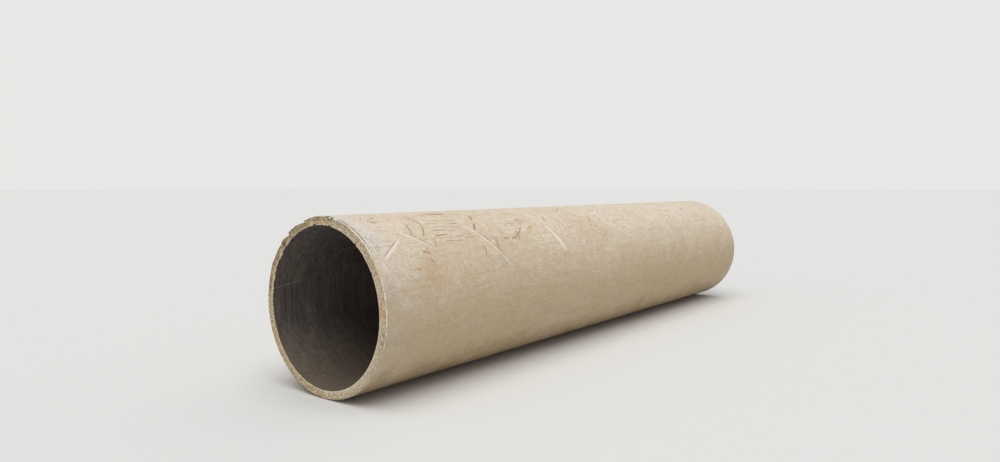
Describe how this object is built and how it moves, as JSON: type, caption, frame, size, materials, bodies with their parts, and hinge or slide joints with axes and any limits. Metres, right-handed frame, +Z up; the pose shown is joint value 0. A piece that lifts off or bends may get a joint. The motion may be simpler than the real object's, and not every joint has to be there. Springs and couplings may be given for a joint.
{
  "type": "composite culvert pipe",
  "caption": "Plain straight thick-walled glass-fibre composite culvert pipe with bevelled ends and a chipped rim, lying on its side.",
  "frame": {"origin": "on the ground under the middle of the pipe: the centre of the bottom of the bounding box", "axes": "+X along the pipe's axis from the near (chipped) end to the far end, +Y across the pipe, +Z up"},
  "size_m": [6, 1.2289, 1.229],
  "materials": {
    "glass_fibre_composite": "cream resin skin, matte and weathered, with scrapes; olive-tan sawn laminate on the ends; dark brown bore"
  },
  "bodies": {
    "root": {"culvert_pipe": "glass_fibre_composite"}
  },
  "joints": []
}
